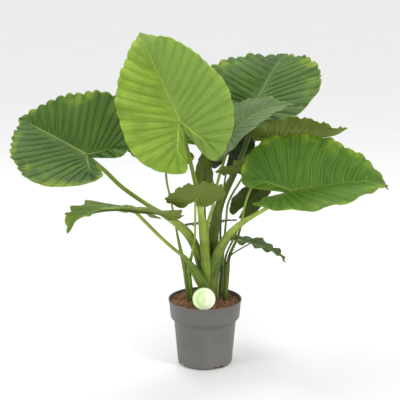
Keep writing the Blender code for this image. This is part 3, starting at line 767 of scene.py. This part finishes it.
for name, leaf in LEAVES.items():
    make_stalk(name, leaf)
    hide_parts(f"{name}_stalk")

# %% [markdown]
# ## Stems
# Low down, the stalks of one shoot wrap a short fleshy stem. The stem is round and slightly ribbed where old
# sheaths have been shed. One of them is still there, dry and pale, and it peels away at its top.

# %% Stem finishes
STEM_FINISH = make_stalk_finish("stem_green", (92, 110, 36), (62, 80, 22), (92, 110, 36))
DRY_FINISH = make_stalk_finish("dry_sheath", (196, 186, 146), (138, 122, 82), (196, 186, 146))


# %% Make the stems
class Stem(NamedTuple):
    foot: tuple
    top: tuple
    radii: tuple


STEMS = {
    "main_stem": Stem((0.006, 0.0, 0.150), (0.006, 0.0, 0.262), (0.0250, 0.0150)),
    "left_stem": Stem((-0.038, -0.012, 0.150), (-0.047, -0.012, 0.252), (0.0075, 0.0082)),
    "right_stem": Stem((0.051, -0.005, 0.150), (0.057, -0.005, 0.272), (0.0055, 0.0078)),
    "rear_stem": Stem((0.040, 0.036, 0.150), (0.044, 0.036, 0.256), (0.0055, 0.0078)),
}


def make_stem(name, stem, number):
    form = bmesh.new()
    foot, top = Vector(stem.foot), Vector(stem.top)
    route = [foot.lerp(top, step / 4) for step in range(5)]
    low, high = stem.radii

    def radius(share):
        ring = 1 + 0.035 * math.sin(share * 26 + number) ** 8
        return (low + (high - low) * share) * ring * math.sqrt(max(0.04, 1 - max(0.0, share - 0.9) ** 2 * 90))

    loft(form, route, radius, Vector((0, -1, 0)), lambda share: 1.0, STEM_STEPS)
    close_ends(form)
    for vert in form.verts:
        centre = foot.lerp(top, (vert.co.z - foot.z) / (top.z - foot.z))
        away = vert.co - centre
        flute = 0.035 * math.sin(5 * math.atan2(away.y, away.x) + number)
        vert.co = centre + away * (1 + flute)
    piece = keep(f"{name}_core", form, (STEM_FINISH,))
    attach(piece, "root")
    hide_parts(name)
    return piece


for count, (name, stem) in enumerate(STEMS.items()):
    make_stem(name, stem, count)


DRY_SHEATH_FOOT, DRY_SHEATH_HEIGHT, DRY_SHEATH_RADIUS, DRY_SHEATH_THICKNESS = 0.166, 0.082, 0.0285, 0.0006


def make_dry_sheath():
    """A strip of dry sheath that clasps the right of the main stem."""
    form = bmesh.new()
    uv = form.loops.layers.uv.new("round")
    grid = bmesh.ops.create_grid(form, x_segments=14, y_segments=24, size=1.0)
    spots = {}
    for vert in grid["verts"]:
        share = (vert.co.y + 1) / 2
        turn = math.radians(-30 + 42 * vert.co.x * (1 - 0.75 * share**2))
        radius = DRY_SHEATH_RADIUS + 0.0012 * vert.co.x**2 + 0.006 * share**4
        spots[vert] = ((vert.co.x + 1) / 2, share)
        vert.co = Vector((MAIN_STEM[0] + radius * math.cos(turn), MAIN_STEM[1] + radius * math.sin(turn),
                          DRY_SHEATH_FOOT + DRY_SHEATH_HEIGHT * share))
    lay_map(form.faces, uv, spots)
    bmesh.ops.recalc_face_normals(form, faces=form.faces)
    sheath = keep("dry_sheath_strip", form, (DRY_FINISH,))
    thicken = sheath.modifiers.new("thickness", "SOLIDIFY")
    thicken.thickness = DRY_SHEATH_THICKNESS
    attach(sheath, "root")
    return sheath


make_dry_sheath()
print("stems:", len(STEMS))

# %% [markdown]
# ## Pot
# A nursery pot is blown or moulded from thin plastic: a tapered body, a step, and a deep collar with a
# small lip. It is a turned shape, so its profile is drawn once and spun. The drain notches in its foot are
# cut after that.

# %% Pot finish
def make_pot_finish():
    finish, tree, shader = new_finish("pot_plastic_grey")
    place = object_place(tree)
    broad = speckle(tree, place, 9.0, 3.0)
    fine = speckle(tree, place, 900.0, 2.0)
    scuffs = ramp(tree, speckle(tree, place, 60.0, 6.0, 0.7, (1.0, 1.0, 0.25)), 0.62, 0.78)
    colour = mix(tree, ramp(tree, broad, 0.3, 0.7), linear(97, 96, 92), linear(109, 108, 103))
    colour = mix(tree, times(tree, scuffs, 0.22), colour, linear(136, 133, 127))
    join(tree, colour, shader.inputs["Base Color"])
    gloss = plus(tree, 0.44, times(tree, fine, 0.12))
    join(tree, plus(tree, gloss, times(tree, scuffs, 0.12)), shader.inputs["Roughness"])
    height = plus(tree, fine, times(tree, broad, 2.0))
    join(tree, bump(tree, height, 0.0002, 0.5), shader.inputs["Normal"])
    shader.inputs["Specular IOR Level"].default_value = 0.45
    return finish


POT_FINISH = make_pot_finish()
print("pot finish:", POT_FINISH.name)

# %% Turn the pot
POT_HEIGHT, RIM_RADIUS, LIP_HEIGHT, LIP_DEPTH = 0.173, 0.095, 0.004, 0.0015
COLLAR_FOOT_RADIUS, COLLAR_FOOT_HEIGHT, COLLAR_STEP, STEP_FALL = 0.0895, 0.125, 0.0085, 0.003
FOOT_RADIUS, FOOT_ROUNDING, WALL, FLOOR = 0.071, 0.008, 0.0018, 0.002
TURN_STEPS = 128


def turned(profile):
    """A closed shape from a profile of radius and height, spun round the upright axis."""
    form = bmesh.new()
    verts = [form.verts.new((radius, 0.0, height)) for radius, height in profile]
    edges = [form.edges.new(pair) for pair in zip(verts, verts[1:])]
    bmesh.ops.spin(form, geom=verts + edges, cent=(0, 0, 0), axis=(0, 0, 1), angle=math.tau, steps=TURN_STEPS,
                   use_merge=True)
    bmesh.ops.remove_doubles(form, verts=form.verts, dist=WELD)
    bmesh.ops.recalc_face_normals(form, faces=form.faces)
    return form


def make_pot():
    foot = [(FOOT_RADIUS - FOOT_ROUNDING * (1 - math.sin(math.radians(15 * step))),
             FOOT_ROUNDING * (1 - math.cos(math.radians(15 * step)))) for step in range(7)]
    body_radius = COLLAR_FOOT_RADIUS - COLLAR_STEP
    foot_point = Vector((FOOT_RADIUS, FOOT_ROUNDING))
    body_point = Vector((body_radius, COLLAR_FOOT_HEIGHT - STEP_FALL))
    body = [tuple(foot_point.lerp(body_point, step / 8)) for step in range(1, 9)]
    collar_top = RIM_RADIUS - LIP_DEPTH
    outside = [
        *foot, *body, (body_radius + 0.0004, COLLAR_FOOT_HEIGHT + 0.0010),
        (COLLAR_FOOT_RADIUS - 0.0022, COLLAR_FOOT_HEIGHT + 0.0010),
        (COLLAR_FOOT_RADIUS - 0.0006, COLLAR_FOOT_HEIGHT),
        (COLLAR_FOOT_RADIUS, COLLAR_FOOT_HEIGHT + 0.0008),
        (COLLAR_FOOT_RADIUS + 0.0013, COLLAR_FOOT_HEIGHT + 0.014),
        (COLLAR_FOOT_RADIUS + 0.0026, COLLAR_FOOT_HEIGHT + 0.029),
        (collar_top, POT_HEIGHT - LIP_HEIGHT - 0.0010),
        (collar_top + 0.0004, POT_HEIGHT - LIP_HEIGHT - 0.0002),
        (RIM_RADIUS - 0.0003, POT_HEIGHT - LIP_HEIGHT + 0.0003),
        (RIM_RADIUS, POT_HEIGHT - LIP_HEIGHT + 0.0009), (RIM_RADIUS, POT_HEIGHT - 0.0008),
        (RIM_RADIUS - 0.0006, POT_HEIGHT - 0.0001), (RIM_RADIUS - 0.0014, POT_HEIGHT),
        (collar_top - WALL + 0.0008, POT_HEIGHT), (collar_top - WALL, POT_HEIGHT - 0.0008)]
    inside = [(COLLAR_FOOT_RADIUS - WALL, COLLAR_FOOT_HEIGHT + 0.0036),
              (body_radius - WALL, COLLAR_FOOT_HEIGHT - 0.0010),
              (FOOT_RADIUS - WALL, FOOT_ROUNDING), (FOOT_RADIUS - FOOT_ROUNDING, FLOOR), (0.0, FLOOR)]
    pot = keep("nursery_pot", turned([(0.0, 0.0), *outside, *inside]), (POT_FINISH,))
    pot.data.set_sharp_from_angle(angle=math.radians(38))
    return pot


POT = make_pot()
print("pot faces:", len(POT.data.polygons))

# %% Cut the drain notches
NOTCH_COUNT, NOTCH_WIDTH, NOTCH_HEIGHT, NOTCH_DEPTH, NOTCH_TURN = 4, 0.030, 0.008, 0.016, 29.0


def make_notch_cutter():
    form = bmesh.new()
    for number in range(NOTCH_COUNT):
        turn = Matrix.Rotation(math.radians(NOTCH_TURN - 90 + 360 * number / NOTCH_COUNT), 4, "Z")
        size = Matrix.Diagonal((2 * NOTCH_DEPTH, NOTCH_WIDTH, 2 * NOTCH_HEIGHT, 1.0))
        block = bmesh.ops.create_cube(form, size=1.0,
                                      matrix=turn @ Matrix.Translation((FOOT_RADIUS, 0, 0)) @ size)
        edges = {edge for vert in block["verts"] for edge in vert.link_edges
                 if sum(end.co.z for end in edge.verts) > 1.9 * NOTCH_HEIGHT}
        bmesh.ops.bevel(form, geom=list(edges), offset=0.0025, offset_type="OFFSET", affect="EDGES",
                        segments=4, profile=0.5, material=-1)
    return keep("notch_cutter", form, (POT_FINISH,), smooth=False)


cutter = make_notch_cutter()
cut = POT.modifiers.new("notches", "BOOLEAN")
cut.operation = "DIFFERENCE"
cut.solver = "EXACT"
cut.object = cutter
bpy.context.view_layer.update()
cut_mesh = bpy.data.meshes.new_from_object(POT.evaluated_get(bpy.context.evaluated_depsgraph_get()))
POT.modifiers.clear()
POT.data = cut_mesh
bpy.data.objects.remove(cutter)
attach(POT, "root")
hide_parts("pot")
print("pot faces with notches:", len(POT.data.polygons))

# %% [markdown]
# ## Soil
# The pot is filled with a mix of peat and coir: brown, crumbly, with short fibres and a few twigs.
# The body is a turned shape whose top is roughened by noise, and about a thousand small crumbs lie on it.

# %% Soil finishes
def make_soil_finish(name, dark, middle, light):
    finish, tree, shader = new_finish(name, 0.95)
    place = object_place(tree)
    lumps = speckle(tree, place, 210.0, 5.0, 0.65)
    bits = speckle(tree, place, 620.0, 3.0, 0.6)
    colour = mix(tree, ramp(tree, lumps, 0.34, 0.62), linear(*dark), linear(*middle))
    colour = mix(tree, ramp(tree, bits, 0.50, 0.72), colour, linear(*light))
    join(tree, colour, shader.inputs["Base Color"])
    join(tree, bump(tree, plus(tree, lumps, times(tree, bits, 0.5)), 0.005),
         shader.inputs["Normal"])
    join(tree, plus(tree, 0.8, times(tree, bits, 0.2)), shader.inputs["Roughness"])
    shader.inputs["Specular IOR Level"].default_value = 0.2
    return finish


SOIL_FINISH = make_soil_finish("coir_mix", (78, 48, 32), (178, 130, 96), (232, 194, 154))
FIBRE_FINISH = make_soil_finish("coir_fibre", (140, 100, 70), (196, 154, 114), (226, 196, 156))

# %% Make the soil
SOIL_EDGE, SOIL_MOUND, SOIL_RADIUS = 0.163, 0.006, 0.0904
CRUMB_COUNT, FIBRE_COUNT = 1100, 220
random.seed(7)


def soil_height(x, y):
    lumps = noise.fractal(Vector((x * 90, y * 90, 3.0)), 0.7, 2.0, 4) * 0.0035
    return SOIL_EDGE + SOIL_MOUND * (1 - (math.hypot(x, y) / SOIL_RADIUS) ** 2) + lumps


def make_soil():
    rings = 44
    surface = [(SOIL_RADIUS * (1 - ring / rings), SOIL_EDGE) for ring in range(rings + 1)]
    form = turned([(0.0, FLOOR + 0.0005), (0.0625, FLOOR + 0.0005), (0.0685, 0.009), (0.0785, 0.122),
                   (0.0868, 0.130), *surface])
    for vert in form.verts:
        if vert.co.z > SOIL_EDGE - WELD:
            vert.co.z = soil_height(vert.co.x, vert.co.y)
    return keep("soil_body", form, (SOIL_FINISH,))


def scatter(name, finish, count, shape):
    """Small pieces lying on the soil, joined into one object."""
    form = bmesh.new()
    for _ in range(count):
        angle, away = random.uniform(0, math.tau), SOIL_RADIUS * 0.97 * math.sqrt(random.random())
        x, y = away * math.cos(angle), away * math.sin(angle)
        shape(form, Vector((x, y, soil_height(x, y))))
    bmesh.ops.recalc_face_normals(form, faces=form.faces)
    return keep(name, form, (finish,))


def add_crumb(form, place):
    size = random.uniform(0.0014, 0.0056)
    crumb = bmesh.ops.create_icosphere(form, subdivisions=1, radius=size)
    for vert in crumb["verts"]:
        vert.co = vert.co * random.uniform(0.65, 1.15)
    bmesh.ops.scale(form, verts=crumb["verts"], vec=(1.0, random.uniform(0.6, 1.0), random.uniform(0.5, 0.8)))
    bmesh.ops.rotate(form, verts=crumb["verts"], matrix=Matrix.Rotation(random.uniform(0, math.tau), 3, "Z"))
    bmesh.ops.translate(form, verts=crumb["verts"], vec=place + Vector((0, 0, size * 0.25)))


def add_fibre(form, place, long=None, heading=None, rise=None):
    reach = long or random.uniform(0.005, 0.020)
    thick = random.uniform(0.00025, 0.0006)
    heading = random.uniform(0, math.tau) if heading is None else heading
    rise = random.uniform(-0.05, 0.35) if rise is None else rise
    bow = random.uniform(-0.5, 0.5)
    fibre = bmesh.ops.create_grid(form, x_segments=4, y_segments=6, size=1.0)
    for vert in fibre["verts"]:
        share, angle = (vert.co.y + 1) / 2, (vert.co.x + 1) * math.pi
        slim = thick * (1 - 0.7 * share)
        ahead = heading + bow * share
        away = Vector((math.cos(ahead), math.sin(ahead), rise)) * reach * share
        aside = Vector((-math.sin(heading), math.cos(heading), 0)) * math.cos(angle) * slim
        vert.co = place + Vector((0, 0, 0.0008)) + away + aside + Vector((0, 0, math.sin(angle) * slim))
    bmesh.ops.remove_doubles(form, verts=fibre["verts"], dist=WELD / 10)
    ends = [edge for edge in form.edges if edge.is_boundary]
    bmesh.ops.holes_fill(form, edges=ends, sides=0)


SOIL = make_soil()
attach(SOIL, "root")
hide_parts("soil")
CRUMBS = scatter("soil_crumbs", SOIL_FINISH, CRUMB_COUNT, add_crumb)
FIBRES = scatter("coir_fibres", FIBRE_FINISH, FIBRE_COUNT, add_fibre)
for piece in (CRUMBS, FIBRES):
    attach(piece, "root")
print("soil faces:", len(SOIL.data.polygons), "crumb faces:", len(CRUMBS.data.polygons))

# %% Twig over the rim
twig_form = bmesh.new()
add_fibre(twig_form, Vector((-0.074, -0.030, 0.170)), 0.034, math.radians(200), 0.22)
add_fibre(twig_form, Vector((-0.070, -0.034, 0.169)), 0.030, math.radians(212), 0.35)
bmesh.ops.recalc_face_normals(twig_form, faces=twig_form.faces)
twig = keep("coir_twig", twig_form, (FIBRE_FINISH,))
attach(twig, "root")
print("twig made")

# %% [markdown]
# ## Label
# A round plastic label stands in the soil. It carries no words here: printed rings and a plain leaf shape
# stand for the printing. The disc has its own flat map, so that the rings stay centred on it.

# %% Label finish
def make_label_finish():
    finish, tree, shader = new_finish("label_print", 0.32)
    node = tree.nodes.new("ShaderNodeUVMap")
    node.uv_map = "disc"
    split = tree.nodes.new("ShaderNodeSeparateXYZ")
    join(tree, node.outputs["UV"], split.inputs[0])
    across, up = split.outputs[0], split.outputs[1]
    radius = calculate(tree, "SQRT", plus(tree, times(tree, across, across), times(tree, up, up)))
    colour = mix(tree, ramp(tree, radius, 0.10, 0.62), linear(236, 247, 205), linear(196, 232, 140))
    colour = mix(tree, ramp(tree, across, 0.55, -0.45), linear(244, 250, 226), colour)
    for inner, outer, shade in ((0.66, 0.70, (188, 222, 146)), (0.74, 0.88, (240, 249, 226)),
                                (0.955, 0.985, (186, 224, 140))):
        band = times(tree, ramp(tree, radius, inner, inner + 0.02), ramp(tree, radius, outer + 0.02, outer))
        colour = mix(tree, band, colour, linear(*shade))
    leaf_across = calculate(tree, "DIVIDE", across, 0.20)
    leaf_up = calculate(tree, "DIVIDE", plus(tree, up, 0.02), 0.40)
    leaf = plus(tree, calculate(tree, "ABSOLUTE", leaf_across), times(tree, leaf_up, leaf_up))
    colour = mix(tree, times(tree, ramp(tree, leaf, 1.0, 0.90), 0.35), colour, linear(160, 208, 104))
    join(tree, colour, shader.inputs["Base Color"])
    place = object_place(tree)
    join(tree, bump(tree, speckle(tree, place, 160.0, 2.0), 0.0003, 0.4), shader.inputs["Normal"])
    join(tree, plus(tree, 0.26, times(tree, speckle(tree, place, 90.0, 3.0), 0.14)),
         shader.inputs["Roughness"])
    return finish


LABEL_FINISH = make_label_finish()
print("label finish:", LABEL_FINISH.name)

# %% Make the label
LABEL_RADIUS, LABEL_THICKNESS, LABEL_STICK, LABEL_LEAN = 0.029, 0.0008, 0.028, 8.0
LABEL_LOW_POINT = (-0.003, -0.078, 0.1666)
LABEL_RIM, LABEL_POINT, LABEL_CURVE = 0.0012, 0.006, 0.0009


def make_label():
    form = bmesh.new()
    uv = form.loops.layers.uv.new("disc")
    bmesh.ops.create_circle(form, cap_ends=True, segments=72, radius=LABEL_RADIUS)
    bmesh.ops.inset_individual(form, faces=form.faces[:], thickness=LABEL_RIM)
    rim = [edge for edge in form.edges if edge.is_boundary]
    low = sorted(rim, key=lambda edge: sum(vert.co.y for vert in edge.verts))[:2]
    stick = bmesh.ops.extrude_edge_only(form, edges=low)
    ends = [part for part in stick["geom"] if isinstance(part, bmesh.types.BMVert)]
    for vert in ends:
        vert.co.y = -LABEL_RADIUS - LABEL_STICK + (0.0 if abs(vert.co.x) < 0.0005 else LABEL_POINT)
    for face in form.faces:
        for loop in face.loops:
            loop[uv].uv = (loop.vert.co.x / LABEL_RADIUS, loop.vert.co.y / LABEL_RADIUS)
    stand = (Matrix.Translation(LABEL_LOW_POINT) @ Matrix.Rotation(math.radians(-LABEL_LEAN), 4, "X")
             @ Matrix.Rotation(math.pi / 2, 4, "X") @ Matrix.Translation((0, LABEL_RADIUS, 0)))
    for vert in form.verts:
        vert.co.z += LABEL_CURVE * (vert.co.x / LABEL_RADIUS) ** 2
    bmesh.ops.transform(form, verts=form.verts, matrix=stand)
    bmesh.ops.recalc_face_normals(form, faces=form.faces)
    if sum(face.normal.y * face.calc_area() for face in form.faces) > 0:
        bmesh.ops.reverse_faces(form, faces=form.faces)
    label = keep("plant_label", form, (LABEL_FINISH,))
    thicken = label.modifiers.new("thickness", "SOLIDIFY")
    thicken.thickness = LABEL_THICKNESS
    thicken.offset = -1.0
    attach(label, "root")
    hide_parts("label")
    return label


LABEL = make_label()
print("label faces:", len(LABEL.data.polygons))

# %% [markdown]
# ## Floor and light
# The plant stands on a plain pale floor in a bright room. A large soft light from the upper right gives the
# leaves their sheen, and a pale world fills the shadows.

# %% Floor
FLOOR_HALF_SIDE = 20.0


def make_floor():
    finish, tree, shader = new_finish("floor_pale", 0.7)
    grain = speckle(tree, object_place(tree), 3.0, 3.0)
    join(tree, mix(tree, grain, linear(236, 236, 237), linear(240, 240, 240)), shader.inputs["Base Color"])
    form = bmesh.new()
    bmesh.ops.create_grid(form, x_segments=1, y_segments=1, size=FLOOR_HALF_SIDE)
    floor = keep("floor", form, (finish,), smooth=False)
    return floor


make_floor()

# %% Lights
WORLD_STRENGTH = 0.97
world = bpy.data.worlds.new("studio")
world.use_nodes = True
world.node_tree.nodes["Background"].inputs["Color"].default_value = (1.0, 1.0, 1.0, 1.0)
world.node_tree.nodes["Background"].inputs["Strength"].default_value = WORLD_STRENGTH
bpy.context.scene.world = world
bpy.context.scene.view_settings.view_transform = "Standard"


def add_light(name, place, size, power, target=(0.0, 0.0, 0.45)):
    data = bpy.data.lights.new(name, "AREA")
    data.shape = "DISK"
    data.size = size
    data.energy = power
    lamp = bpy.data.objects.new(name, data)
    lamp.location = place
    lamp.rotation_euler = (Vector(target) - Vector(place)).to_track_quat("-Z", "Y").to_euler()
    bpy.context.scene.collection.objects.link(lamp)


add_light("key", (1.5, -1.5, 2.5), 0.7, 26.0)
add_light("fill", (-2.0, -1.6, 1.6), 1.0, 10.0)
add_light("top", (-0.6, 0.9, 2.2), 0.8, 20.0)
print("lights: 3")
